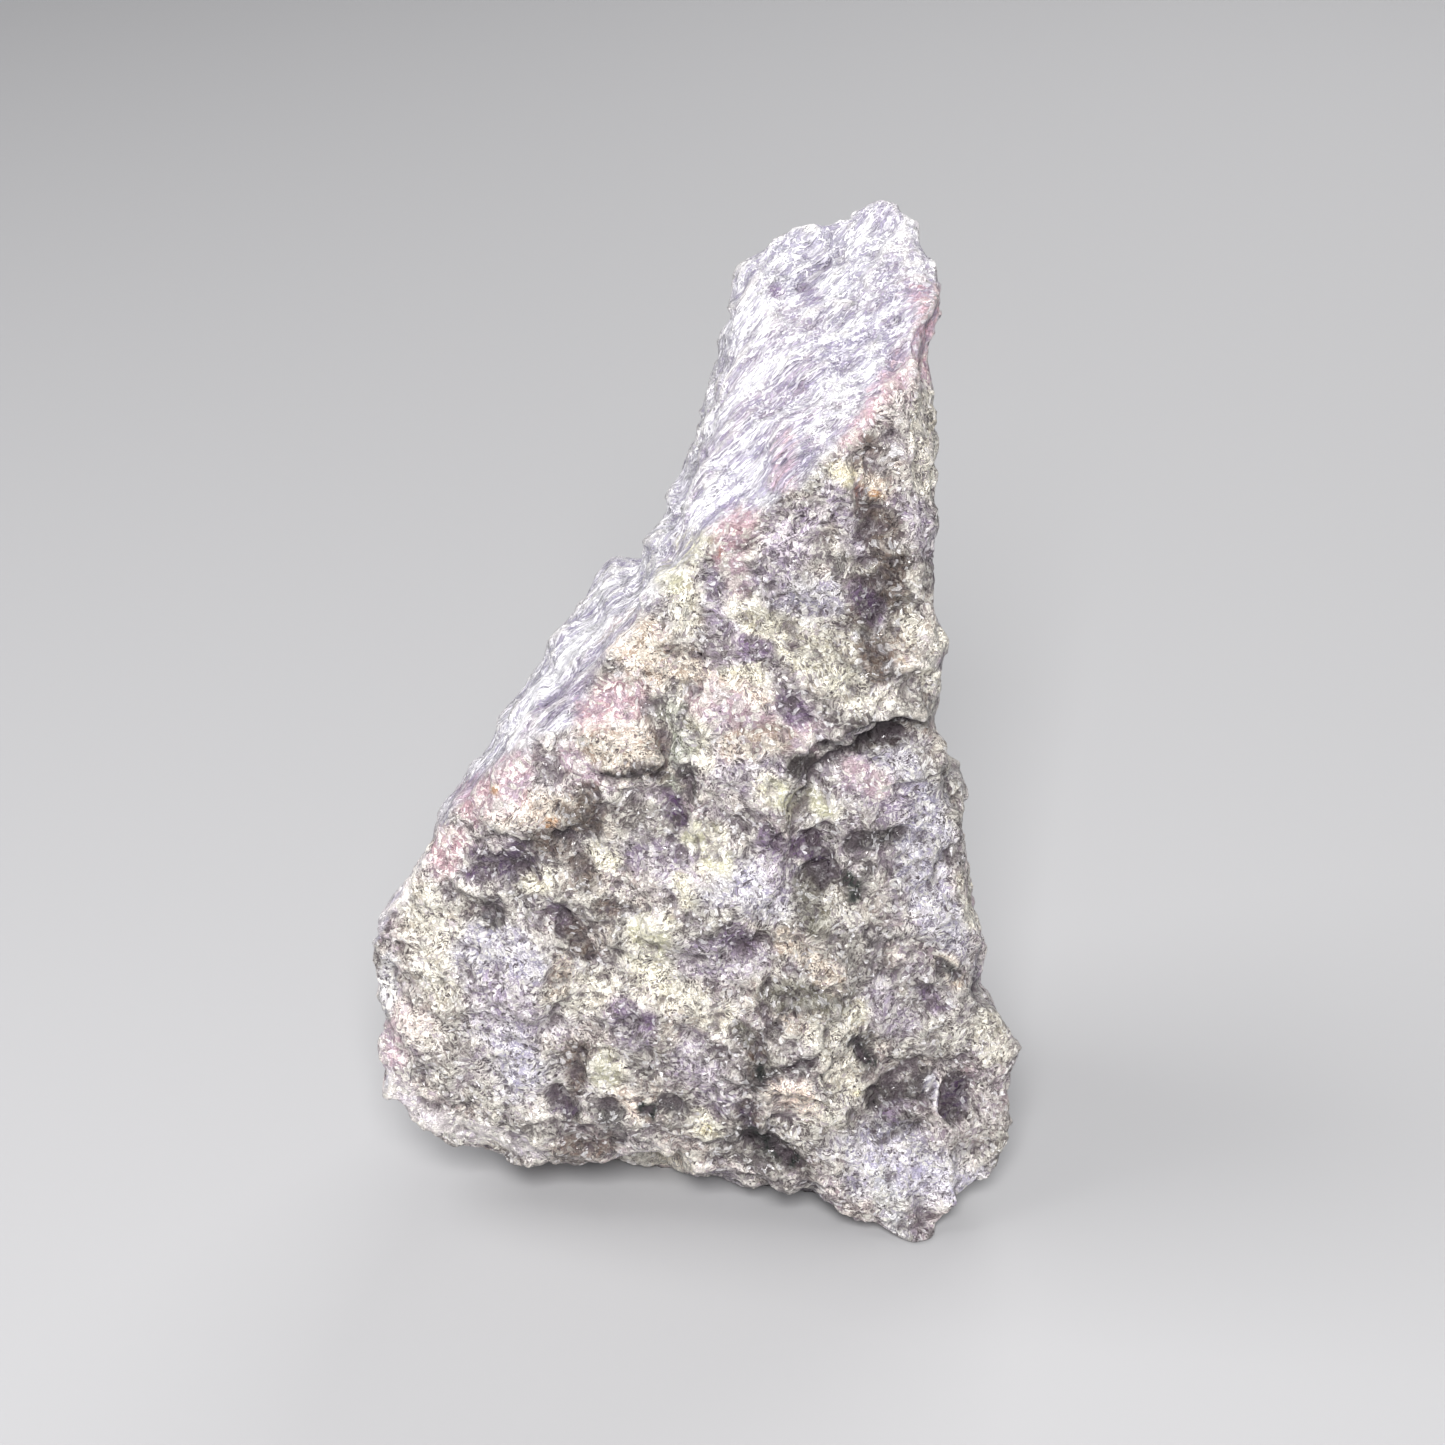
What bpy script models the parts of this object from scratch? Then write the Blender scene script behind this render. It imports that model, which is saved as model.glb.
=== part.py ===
"""A raw piece of lepidolite, the lilac lithium mica, as it broke from the rock.

It is one solid, and stands on a small flat on its underside. The broad rough face looks
along -Y. From its slanting upper edge a smoother cleavage face, the streaked one, leans up
and back to the left, and both run into the narrow head at the upper right.

The stone is blocked out as a sculptor would: convex masses are joined, chips are knocked
off, the whole is made one even mesh, and its surface is then broken into small facets.
"""

import bmesh
import bpy
import numpy as np
from mathutils import Euler, Vector

MM = 0.001

# The corners of each convex mass, in millimetres: x to the right, y away, z up.
BODY = [
    # slanting edge between the rough face and the streaked face
    (-4.0, -8.5, 48.6), (-7.8, -9.0, 43.3), (-12.9, -9.0, 38.7), (-17.7, -8.0, 31.9),
    # left side, from the waist down to the lifted lower edge
    (-6.0, 1.5, 47.4), (-9.3, 0.0, 42.8), (-13.2, -1.0, 37.3), (-15.6, -2.5, 33.5),
    (-18.9, -4.0, 28.9), (-21.6, -6.0, 24.4), (-23.5, -7.0, 20.6), (-23.4, -8.0, 14.0),
    (-22.8, -9.0, 10.1), (-19.2, -9.5, 6.4), (-12.9, -10.0, 4.8),
    # lower edge and swell of the rough face
    (-1.4, -11.0, 5.8), (2.3, -12.0, 5.3), (6.5, -14.0, 13.0), (0.2, -13.5, 17.3),
    (-15.1, -12.0, 20.5), (0.3, -12.0, 31.8), (10.3, -11.0, 40.6),
    # right side
    (15.9, -8.0, 47.0), (16.3, -7.0, 41.5), (17.1, -7.0, 37.2), (19.0, -8.0, 29.5),
    (20.7, -8.0, 18.3), (20.0, -9.0, 8.0), (19.2, 0.0, 31.5), (20.2, 0.0, 23.9),
    (20.8, 0.0, 13.0),
    # back
    (-6.0, 11.0, 44.0), (-14.0, 8.0, 32.0), (-19.0, 6.0, 18.0), (-17.0, 8.0, 6.0),
    (0.0, 16.0, 28.0), (-7.0, 15.5, 11.0), (14.0, 15.0, 31.0), (18.0, 11.0, 25.0),
    (18.5, 9.0, 9.0), (15.0, 13.5, 4.0), (4.0, 16.5, 8.0),
    # underside, a little below the plane that is cut flat
    (-13.5, 3.0, -1.5), (-12.0, 8.5, -1.5), (0.0, 12.5, -1.5), (14.5, 10.0, -1.5),
    (16.5, -5.0, -1.5), (6.0, -2.0, -1.5),
]
FIN = [
    # slanting edge, carried on up to the right
    (14.3, -5.0, 63.8), (9.1, -7.0, 60.2), (4.2, -8.0, 56.9), (-0.3, -8.5, 53.5),
    (-3.7, -8.5, 49.7),
    # right side of the rough face
    (14.5, -5.0, 63.6), (14.9, -6.0, 58.0), (15.1, -7.5, 52.2), (16.5, -8.0, 44.1),
    # outline of the streaked face, from the head down to the waist
    (8.0, 6.0, 70.7), (5.2, 6.0, 70.1), (2.9, 5.0, 69.1), (3.2, 4.5, 65.9),
    (2.0, 4.0, 60.4), (1.0, 3.0, 55.6), (0.7, 3.0, 51.9), (-3.6, 2.0, 49.4),
    # head and shoulder
    (11.0, 6.0, 71.2), (14.6, 5.0, 70.6), (16.2, 3.0, 70.0), (16.6, 1.5, 69.1),
    (14.7, -0.5, 66.1),
    # back
    (13.5, 11.5, 67.0), (6.5, 12.0, 65.5), (4.0, 11.0, 58.0), (-0.5, 11.0, 48.0),
    (12.9, 9.0, 60.0), (13.6, 12.0, 44.0), (3.0, 14.5, 44.0), (14.0, 14.0, 32.0),
    # buried in the body
    (16.5, -6.0, 38.0), (-4.5, -6.0, 40.0), (-5.0, 3.0, 40.0),
]
FOOT = [
    (2.3, -12.0, 5.3), (9.2, -12.0, 4.8), (12.3, -12.5, 2.7), (15.8, -13.0, 0.2),
    (17.5, -13.0, 1.8), (19.1, -12.0, 4.1), (7.0, -2.0, -1.5), (16.0, -4.0, -1.5),
    (5.0, -13.0, 12.0), (18.0, -11.0, 12.0), (12.0, 0.0, 10.0),
]
LOBE = [
    (20.5, -8.0, 18.3), (21.7, -8.0, 16.9), (23.5, -8.0, 13.8), (22.8, -8.0, 8.3),
    (22.9, -9.0, 4.4), (21.4, -10.0, 2.6), (19.2, -10.5, 2.6), (20.0, 2.0, 16.0),
    (20.0, 2.0, 5.0),
    (16.0, -10.5, 17.0), (16.0, -11.0, 5.0),
]
KNOB = [
    (12.6, 6.0, 72.7), (11.4, 6.0, 72.4), (13.8, 6.0, 72.0), (9.7, 5.0, 70.3),
    (15.3, 4.5, 70.6), (12.5, 9.5, 70.5), (10.5, 9.0, 66.0), (14.5, 8.0, 66.5),
]
# Plates left standing on the rough face, each with its buried back corners last.
RIGHT_PLATE = [
    (-0.6, -10.7, 43.6), (1.3, -10.6, 45.9), (6.9, -9.9, 47.4), (14.5, -9.0, 46.5),
    (16.2, -8.4, 41.4), (13.6, -10.2, 41.6), (9.7, -12.3, 41.2), (7.4, -12.6, 39.0),
    (6.6, -12.4, 34.0), (2.0, -12.3, 32.5), (0.2, -11.9, 38.5),
    (1.0, -6.0, 44.0), (13.0, -5.0, 44.0), (6.0, -7.0, 35.0),
]
LEFT_PLATE = [
    (-12.8, -9.2, 39.3), (-8.2, -10.2, 40.8), (-2.2, -11.0, 41.6), (-2.7, -11.9, 37.9),
    (-6.5, -12.2, 35.6), (-10.0, -11.4, 33.0), (-15.5, -10.0, 33.6),
    (-11.0, -6.0, 37.0), (-4.0, -6.0, 38.0),
]
MIDDLE_SWELL = [
    (-3.0, -12.6, 31.0), (2.5, -12.9, 31.5), (5.0, -13.4, 26.5), (1.0, -14.0, 24.0),
    (-3.5, -13.6, 26.0), (0.0, -9.0, 33.0), (0.0, -9.0, 22.0),
]
LOWER_SHELF = [
    (1.5, -14.6, 15.2), (6.0, -15.4, 13.6), (10.4, -14.4, 12.8), (9.0, -13.5, 18.0),
    (2.5, -13.8, 19.0), (5.0, -10.0, 16.0), (9.0, -10.0, 13.5),
]

MASSES = {
    "fin": FIN,
    "foot": FOOT,
    "lobe": LOBE,
    "knob": KNOB,
    "right_plate": RIGHT_PLATE,
    "left_plate": LEFT_PLATE,
    "middle_swell": MIDDLE_SWELL,
    "lower_shelf": LOWER_SHELF,
}

# Chips knocked off the stone: middle and sides in millimetres, turn in degrees.
CHIPS = {
    "under_right_ledge": ((13.5, -11.6, 33.6), (14.0, 4.0, 14.0), (-10.0, 8.0, 6.0)),
    "groove_between_plates": ((-1.0, -11.4, 41.2), (1.9, 4.0, 8.0), (4.0, 10.0, 20.0)),
    "pocket_below_plates": ((-2.0, -13.0, 35.0), (4.6, 4.0, 6.0), (-4.0, 16.0, 16.0)),
    "left_hollow": ((-12.8, -13.0, 30.2), (9.0, 4.0, 4.0), (-24.0, 14.0, -8.0)),
    "left_step": ((-9.0, -14.2, 24.5), (8.0, 4.0, 5.0), (-14.0, 34.0, -4.0)),
    "under_shelf": ((6.5, -15.6, 10.4), (10.0, 4.0, 4.6), (-26.0, -4.0, 4.0)),
    "right_hollow": ((16.0, -14.0, 11.4), (8.0, 5.0, 6.0), (-16.0, -30.0, 16.0)),
    "upper_groove": ((11.8, -9.9, 52.0), (2.2, 3.0, 12.0), (4.0, 10.0, 24.0)),
    "right_steps": ((13.8, -13.4, 24.0), (5.0, 5.0, 6.0), (-12.0, 18.0, 20.0)),
    "lower_left_step": ((-12.0, -14.9, 13.0), (9.0, 4.0, 5.0), (-20.0, -10.0, -6.0)),
    "nick_in_lower_edge": ((-6.4, -9.6, 2.2), (11.0, 9.0, 5.2), (-28.0, -3.0, 8.0)),
    "nick_in_right_side": ((19.0, -1.0, 37.4), (3.0, 16.0, 8.6), (0.0, 4.0, 0.0)),
    "hollow_in_left_edge": ((-1.1, 5.0, 59.6), (4.0, 20.0, 14.0), (0.0, 14.0, 0.0)),
    "back_slab": ((-9.0, 15.5, 30.0), (16.0, 6.0, 22.0), (8.0, -22.0, 24.0)),
    "back_notch": ((12.0, 17.5, 16.0), (16.0, 6.0, 12.0), (-14.0, 12.0, -12.0)),
}

VOXEL = 0.6 * MM          # grain of the even mesh
TRIANGLES = 9000          # what is left after thinning
SEED = 7

# Broken surface: facet size, height of the steps between facets, tilt of the facets.
FACETS = [
    (6.5 * MM, 0.20 * MM, 0.03),
    (2.8 * MM, 0.22 * MM, 0.09),
]
FACET_BLEND = 0.25 * MM   # width over which one facet gives way to the next
FACET_BOX = [(-26, -18, -2), (26, 19, 75)]


def fresh_collection(name):
    collection = bpy.data.collections.new(name)
    bpy.context.scene.collection.children.link(collection)
    return collection


def hull(name, corners, collection):
    """The convex solid around a list of corners given in millimetres."""
    shape = bmesh.new()
    for corner in corners:
        shape.verts.new(Vector(corner) * MM)
    found = bmesh.ops.convex_hull(shape, input=shape.verts)
    spare = set(found["geom_interior"] + found["geom_unused"])
    spare = [item for item in spare if isinstance(item, bmesh.types.BMVert)]
    bmesh.ops.delete(shape, geom=spare, context="VERTS")
    bmesh.ops.recalc_face_normals(shape, faces=shape.faces)
    mesh = bpy.data.meshes.new(name)
    shape.to_mesh(mesh)
    shape.free()
    made = bpy.data.objects.new(name, mesh)
    collection.objects.link(made)
    return made


def block(name, middle, sides, turn, collection):
    """A turned box, from its middle and sides in millimetres and its turn in degrees."""
    shape = bmesh.new()
    bmesh.ops.create_cube(shape, size=1.0)
    bmesh.ops.scale(shape, vec=Vector(sides) * MM, verts=shape.verts)
    mesh = bpy.data.meshes.new(name)
    shape.to_mesh(mesh)
    shape.free()
    made = bpy.data.objects.new(name, mesh)
    made.location = Vector(middle) * MM
    made.rotation_euler = Euler(np.radians(turn))
    collection.objects.link(made)
    return made


def keep_as_helper(obj):
    obj.hide_render = True
    obj.display_type = "WIRE"


def boolean(obj, operation, collection):
    modifier = obj.modifiers.new(operation.title(), "BOOLEAN")
    modifier.operation = operation
    modifier.operand_type = "COLLECTION"
    modifier.collection = collection
    modifier.solver = "EXACT"


def evaluated_copy(obj, name):
    """The object's mesh with its modifiers applied."""
    graph = bpy.context.evaluated_depsgraph_get()
    mesh = bpy.data.meshes.new_from_object(obj.evaluated_get(graph))
    mesh.name = name
    return mesh


def facet_heights(points, size, step, tilt, rng):
    """Height of a surface broken into facets: each belongs to the nearest of many seeded
    points, stands a little proud or shy, and is a little tilted."""
    low, high = np.array(FACET_BOX) * MM
    count = int(np.prod((high - low) / size))
    seeds = rng.uniform(low, high, (count, 3))
    offsets = rng.uniform(-step, step, count)
    tilts = rng.normal(0.0, tilt, (count, 3))
    gap = np.linalg.norm(points[:, None] - seeds[None], axis=2)
    weight = np.exp(-(gap - gap.min(1, keepdims=True)) / FACET_BLEND)
    weight /= weight.sum(1, keepdims=True)
    plane = offsets[None] + points @ tilts.T - (seeds * tilts).sum(1)[None]
    return (weight * plane).sum(1)


def break_surface(mesh):
    """Moves each point of the even mesh in or out, so that the stone is all small facets."""
    count = len(mesh.vertices)
    points = np.empty(count * 3, np.float32)
    mesh.vertices.foreach_get("co", points)
    points = points.reshape(-1, 3).astype(float)
    normals = np.empty(count * 3, np.float32)
    mesh.vertices.foreach_get("normal", normals)
    normals = normals.reshape(-1, 3).astype(float)
    rng = np.random.default_rng(SEED)
    height = np.zeros(count)
    for size, step, tilt in FACETS:
        height += facet_heights(points, size, step, tilt, rng)
    height -= height.mean()
    points += normals * height[:, None]
    mesh.vertices.foreach_set("co", points.astype(np.float32).ravel())
    mesh.update()


def stone_material():
    material = bpy.data.materials.new("lepidolite")
    material.use_nodes = True
    shader = material.node_tree.nodes["Principled BSDF"]
    shader.inputs["Base Color"].default_value = (0.46, 0.39, 0.50, 1.0)
    shader.inputs["Roughness"].default_value = 0.55
    shader.inputs["Metallic"].default_value = 0.0
    return material


def centre_on_base(mesh):
    """Puts the origin under the middle of the stone, on the plane it stands on."""
    points = np.array([vertex.co for vertex in mesh.vertices])
    middle = (points.min(0) + points.max(0)) / 2
    points -= (middle[0], middle[1], points[:, 2].min())
    mesh.vertices.foreach_set("co", points.astype(np.float32).ravel())
    mesh.update()


def main():
    for old in list(bpy.data.objects):
        bpy.data.objects.remove(old)
    part = fresh_collection("raw_lepidolite")
    masses = fresh_collection("masses")
    chips = fresh_collection("chips")

    rough = hull("body", BODY, part)
    for name, corners in MASSES.items():
        keep_as_helper(hull(name, corners, masses))
    for name, (middle, sides, turn) in CHIPS.items():
        keep_as_helper(block(name, middle, sides, turn, chips))
    boolean(rough, "UNION", masses)
    boolean(rough, "DIFFERENCE", chips)
    even = rough.modifiers.new("Even", "REMESH")
    even.mode = "VOXEL"
    even.voxel_size = VOXEL
    even.adaptivity = 0.0

    mesh = evaluated_copy(rough, "lepidolite")
    bpy.data.objects.remove(rough)
    break_surface(mesh)

    ground = fresh_collection("ground")
    keep_as_helper(block("below_the_flat", (0, 0, -20), (120, 120, 40), (0, 0, 0), ground))
    stone = bpy.data.objects.new("lepidolite", mesh)
    part.objects.link(stone)
    thin = stone.modifiers.new("Thin", "DECIMATE")
    thin.ratio = TRIANGLES / (2 * len(mesh.polygons))
    boolean(stone, "DIFFERENCE", ground)
    final = evaluated_copy(stone, "lepidolite")
    stone.modifiers.clear()
    stone.data = final
    centre_on_base(final)
    final.materials.clear()
    final.materials.append(stone_material())


main()
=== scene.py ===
# %% [markdown]
# # Raw lepidolite
# Lepidolite is a lilac mica. A raw piece is a solid mass of tiny scales, grown together
# with pale feldspar and quartz, and it shows how it broke: one side is rough and grainy,
# another is a paler face drawn out in silky strands. The stone could be sculpted by hand,
# or covered with pictures of rock. Here its skin is made fine and even, and every grain,
# step and strand is a formula on the skin's points, so it can be tuned and repeated.

import itertools
import math

import bpy
import numpy as np
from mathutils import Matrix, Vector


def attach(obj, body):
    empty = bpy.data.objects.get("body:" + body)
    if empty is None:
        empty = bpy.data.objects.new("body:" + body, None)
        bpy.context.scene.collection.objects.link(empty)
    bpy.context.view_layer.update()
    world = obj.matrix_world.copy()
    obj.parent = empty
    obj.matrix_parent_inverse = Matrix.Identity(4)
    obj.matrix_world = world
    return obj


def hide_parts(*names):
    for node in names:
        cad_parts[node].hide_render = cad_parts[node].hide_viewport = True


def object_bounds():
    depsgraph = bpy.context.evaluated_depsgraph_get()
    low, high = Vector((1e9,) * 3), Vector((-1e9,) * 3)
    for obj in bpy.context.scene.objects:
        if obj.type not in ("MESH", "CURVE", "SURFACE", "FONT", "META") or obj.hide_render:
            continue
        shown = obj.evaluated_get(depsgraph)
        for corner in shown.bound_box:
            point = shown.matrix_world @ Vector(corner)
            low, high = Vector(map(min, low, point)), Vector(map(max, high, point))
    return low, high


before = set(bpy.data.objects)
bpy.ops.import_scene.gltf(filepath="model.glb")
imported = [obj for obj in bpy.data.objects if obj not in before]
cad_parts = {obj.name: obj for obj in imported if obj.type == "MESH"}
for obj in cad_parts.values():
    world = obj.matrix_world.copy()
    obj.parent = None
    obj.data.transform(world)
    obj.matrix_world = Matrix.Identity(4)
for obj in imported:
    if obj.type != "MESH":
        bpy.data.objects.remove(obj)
cad_low, cad_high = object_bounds()
scene = bpy.context.scene
MM = 0.001
print("box of the packed stone, mm:", [round(value / MM, 1) for value in (*cad_low, *cad_high)])

# %% [markdown]
# ## Camera
# The photo was taken from a little above, with a long enough lens to keep the stone's
# sides straight. The camera's formula is also written out as a function, because pushes,
# edges and spots of colour are placed by where they show in the photo.

# %% Camera
PHOTO_SIDE = 1445  # pixels
VIEW_ANGLE = math.radians(27.0)
PITCH = math.radians(28.0)  # below the horizon
EYE = np.array((1.8, -189.1, 136.1))  # millimetres
FORWARD = np.array((0.0, math.cos(PITCH), -math.sin(PITCH)))
UPWARD = np.array((0.0, math.sin(PITCH), math.cos(PITCH)))
FOCUS = PHOTO_SIDE / 2 / math.tan(VIEW_ANGLE / 2)

camera_data = bpy.data.cameras.new("camera")
camera_data.sensor_width = 36.0
camera_data.lens = camera_data.sensor_width / 2 / math.tan(VIEW_ANGLE / 2)
camera_data.clip_start = 0.01
camera = bpy.data.objects.new("camera", camera_data)
camera.location = EYE * MM
camera.rotation_euler = (math.pi / 2 - PITCH, 0.0, 0.0)
scene.collection.objects.link(camera)
scene.camera = camera
print("lens, mm:", round(camera_data.lens, 2))


def photo_place(points):
    """Where points in millimetres show in the photo, in pixels: the sideways and upward
    distance from the line of sight, over the depth, times the focal length."""
    ray = points - EYE
    scale = FOCUS / (ray @ FORWARD)
    return PHOTO_SIDE / 2 + scale * ray[:, 0], PHOTO_SIDE / 2 - scale * (ray @ UPWARD)


# %% [markdown]
# ## Floor and light
# A plain pale floor and three soft lamps. One high at the left makes the sloping face nearly
# white, as in the photo. A stronger one in front shines down on the upright face, so that
# each grain throws a short shadow. A weak one behind lights the far side, and a pale
# surrounding keeps the hollows readable.

# %% Floor
FLOOR_SIDE = 4.0  # metres
FLOOR_COLOUR = (0.37, 0.37, 0.38, 1.0)
FLOOR_ROUGHNESS = 0.7

half = FLOOR_SIDE / 2
floor_mesh = bpy.data.meshes.new("floor")
floor_mesh.from_pydata([(-half, -half, 0), (half, -half, 0), (half, half, 0), (-half, half, 0)],
                       [], [(0, 1, 2, 3)])
floor = bpy.data.objects.new("floor", floor_mesh)
scene.collection.objects.link(floor)
floor_material = bpy.data.materials.new("floor")
floor_material.use_nodes = True
floor_shader = floor_material.node_tree.nodes["Principled BSDF"]
floor_shader.inputs["Base Color"].default_value = FLOOR_COLOUR
floor_shader.inputs["Roughness"].default_value = FLOOR_ROUGHNESS
floor_mesh.materials.append(floor_material)
print("floor side, m:", FLOOR_SIDE)

# %% Lamps
LAMP_COLOUR = (1.0, 0.99, 0.98)
SURROUNDING_COLOUR = (0.93, 0.95, 1.0, 1.0)
SURROUNDING_STRENGTH = 0.2


def soft_lamp(name, place, side, power):
    """A square lamp at a place in millimetres, with its side in metres and its power in
    watts, turned towards the middle of the stone."""
    data = bpy.data.lights.new(name, "AREA")
    data.shape = "SQUARE"
    data.size = side
    data.energy = power
    data.color = LAMP_COLOUR
    lamp = bpy.data.objects.new(name, data)
    lamp.location = np.array(place) * MM
    towards = (cad_low + cad_high) / 2 - lamp.location
    lamp.rotation_euler = towards.to_track_quat("-Z", "Y").to_euler()
    scene.collection.objects.link(lamp)


soft_lamp("lamp_above", (-300, -10, 440), 0.28, 1.55)
soft_lamp("lamp_front", (-10, -420, 380), 0.18, 5.0)
soft_lamp("lamp_behind", (160, 360, 300), 0.3, 1.0)

world = bpy.data.worlds.new("surrounding")
world.use_nodes = True
background = world.node_tree.nodes["Background"]
background.inputs["Color"].default_value = SURROUNDING_COLOUR
background.inputs["Strength"].default_value = SURROUNDING_STRENGTH
scene.world = world
scene.view_settings.view_transform = "Standard"


# %% [markdown]
# ## Noise
# Rock is uneven at every scale, and every formula below leans on one kind of repeatable
# chance. Random numbers are fixed to the corners of a lattice in space, so the same point
# always gets the same number, whatever the mesh.

# %% Chance fixed in space
def chance(corner, salt):
    """A number from 0 to 1 for each whole-number corner: the three numbers are multiplied
    by large primes, joined, and the bits folded over each other twice."""
    mixed = corner[:, 0] * 73856093 ^ corner[:, 1] * 19349663 ^ corner[:, 2] * 83492791
    mixed = (mixed ^ salt * 49979687) & 0x7FFFFFFF
    mixed = (mixed ^ mixed >> 13) * 1274126177 & 0x7FFFFFFF
    mixed = (mixed ^ mixed >> 16) * 668265263 & 0x7FFFFFFF
    return (mixed ^ mixed >> 15) / 0x7FFFFFFF


def noise(points, size, salt):
    """Smooth noise from -1 to 1: the chances on the eight corners round each point, blended
    by an S-shaped weight of the way between them. size is the lattice's spacing."""
    place = points / size
    corner = np.floor(place).astype(np.int64)
    way = place - corner
    way = way * way * way * (way * (way * 6 - 15) + 10)
    total = np.zeros(len(points))
    for step in itertools.product((0, 1), repeat=3):
        weight = np.prod(np.where(np.array(step) == 1, way, 1 - way), axis=1)
        total += weight * chance(corner + step, salt)
    return 2 * total - 1


TURN = np.array(((0.36, 0.48, -0.8), (-0.8, 0.6, 0.0), (0.48, 0.64, 0.6)))


def fractal(points, size, octaves, salt):
    """Sum of noises, each at half the size and half the strength of the one before, on a
    lattice turned each time so that its directions never show."""
    total, strength, whole = np.zeros(len(points)), 1.0, 0.0
    for octave in range(octaves):
        points = points @ TURN
        total += strength * noise(points, size, salt + octave)
        whole += strength
        size, strength = size / 2, strength / 2
    return total / whole


def ease(low, high, value):
    """0 below low, 1 above high, and an S-shaped curve between."""
    way = np.clip((value - low) / (high - low), 0.0, 1.0)
    return way * way * (3 - 2 * way)


def warp(points, size, reach, salt):
    """Points pushed about by three slow noises, which bends any pattern read there."""
    push = [fractal(points, size, 2, salt + 10 * axis) for axis in range(3)]
    return points + reach * np.stack(push, axis=1)


# %% [markdown]
# ## Skin of the stone
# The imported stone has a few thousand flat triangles, which show as facets that the real
# one doesn't have. A copy is welded, rebuilt as an even net of quarter-millimetre squares
# and smoothed a little. Then it has enough points to carry grains, and its flat base stays.

# %% Even net
STONE = "lepidolite"
NET = 0.25  # millimetres between points
SMOOTHING = 2  # rounds


def evaluated_mesh(obj, name):
    """The object's mesh with its modifiers applied."""
    graph = bpy.context.evaluated_depsgraph_get()
    mesh = bpy.data.meshes.new_from_object(obj.evaluated_get(graph))
    mesh.name = name
    return mesh


def column(mesh_part, name, width):
    """One property of every point, edge or face as an array with the given width."""
    values = np.empty(len(mesh_part) * width, np.float32 if width != 2 else np.int32)
    mesh_part.foreach_get(name, values)
    return values.reshape(-1, width).astype(float if width != 2 else np.int64)


stone = bpy.data.objects.new("rough_stone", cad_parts[STONE].data.copy())
scene.collection.objects.link(stone)
weld = stone.modifiers.new("weld", "WELD")
weld.merge_threshold = 0.01 * MM
net = stone.modifiers.new("net", "REMESH")
net.mode = "VOXEL"
net.voxel_size = NET * MM
skin = evaluated_mesh(stone, "rough_stone")
stone.modifiers.clear()
stone.data = skin
edges = column(skin.edges, "vertices", 2)
count = len(skin.vertices)
print("points:", count, "faces:", len(skin.polygons))


# %% Smoothing over neighbours
def neighbour_mean(values):
    """The mean of each point's neighbours along the edges, for each column of values."""
    first, second = edges.T
    share = np.bincount(first, minlength=count) + np.bincount(second, minlength=count)
    total = [np.bincount(first, part[second], count) + np.bincount(second, part[first], count)
             for part in values.T]
    return np.stack(total, axis=1) / share[:, None]


def relax(values, rounds):
    """Moves each value half way to its neighbours' mean, again and again."""
    for _ in range(rounds):
        values = (values + neighbour_mean(values)) / 2
    return values


def unit(vectors):
    """Each vector over its length."""
    return vectors / np.maximum(np.linalg.norm(vectors, axis=1, keepdims=True), 1e-9)


def set_points(mesh, points):
    """Moves the mesh's points, in millimetres."""
    mesh.vertices.foreach_set("co", (points * MM).astype(np.float32).ravel())
    mesh.update()


BASE_EDGE = 0.2  # millimetres that count as the flat base

raw = column(skin.vertices, "co", 3) / MM
on_base = raw[:, 2] < BASE_EDGE
even = relax(raw, SMOOTHING)
even[on_base, 2] = 0.0
even[:, 2] = np.maximum(even[:, 2], 0.0)
set_points(skin, even)
normals = unit(relax(column(skin.vertices, "normal", 3), 6))
broad_normals = unit(relax(normals, 40))
print("points on the flat base:", int(on_base.sum()))

# %% [markdown]
# ## Outline
# Broken rock has an outline that wanders by a few tenths of a millimetre, in its own way
# for each stone. A few gentle pushes at places along the outline of the photo bring the
# stone's own wandering. Each push moves everything that lies behind that place, front and
# back alike, and dies away round it, so nothing folds or opens.

# %% Pushes along the outline
# Each push: place x, y in the photo, reach, and the way right and down, all in pixels.
PUSHES = [
    (941, 345, 40, -9, 0), (943, 420, 22, -10, 0), (945, 545, 26, -10, 0), (944, 482, 26, -4, 0),
    (941, 592, 18, -5, 0), (938, 646, 20, 9, 0), (951, 722, 22, -15, 0), (966, 775, 16, -5, 0),
    (986, 905, 22, -8, 0), (999, 984, 24, -12, 0), (1022, 1080, 20, -11, 0), (1001, 1142, 22, 8, 0),
    (918, 1230, 26, 9, 10), (938, 1212, 22, 0, 10), (775, 240, 14, -3, 0), (860, 208, 12, -12, 0),
    (916, 208, 16, -11, 0), (934, 240, 15, -14, 8), (812, 236, 18, 0, -10), (842, 227, 14, 0, -8),
    (690, 448, 14, 0, -7), (941, 450, 14, -5, 0), (535, 660, 12, 5, 0), (456, 780, 12, 5, 0),
    (370, 1020, 15, 9, 0), (371, 1080, 15, 9, 0), (449, 1140, 14, -5, 0), (946, 1200, 16, 12, 0),
    (1010, 1050, 14, 8, 0), (960, 1187, 18, 0, 8), (900, 1232, 16, 0, 6), (984, 990, 12, -5, 0),
    (743, 270, 14, -5, 0), (711, 345, 24, 6, 0), (658, 510, 14, 7, 0), (646, 540, 12, -7, 0),
    (557, 632, 16, -6, 0), (482, 735, 26, 5, 0), (424, 840, 14, 4, 4), (392, 915, 24, -9, 0),
    (365, 1002, 26, 13, 0), (394, 1110, 16, 5, -4), (420, 1120, 20, 0, 8), (512, 1155, 16, 0, 11),
    (555, 1168, 24, 0, -8), (642, 1165, 26, 0, -8), (690, 1174, 16, 0, 7), (808, 1200, 20, 0, -14),
]
PIXELS_PER_MM = 14.5  # at the stone's distance


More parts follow.
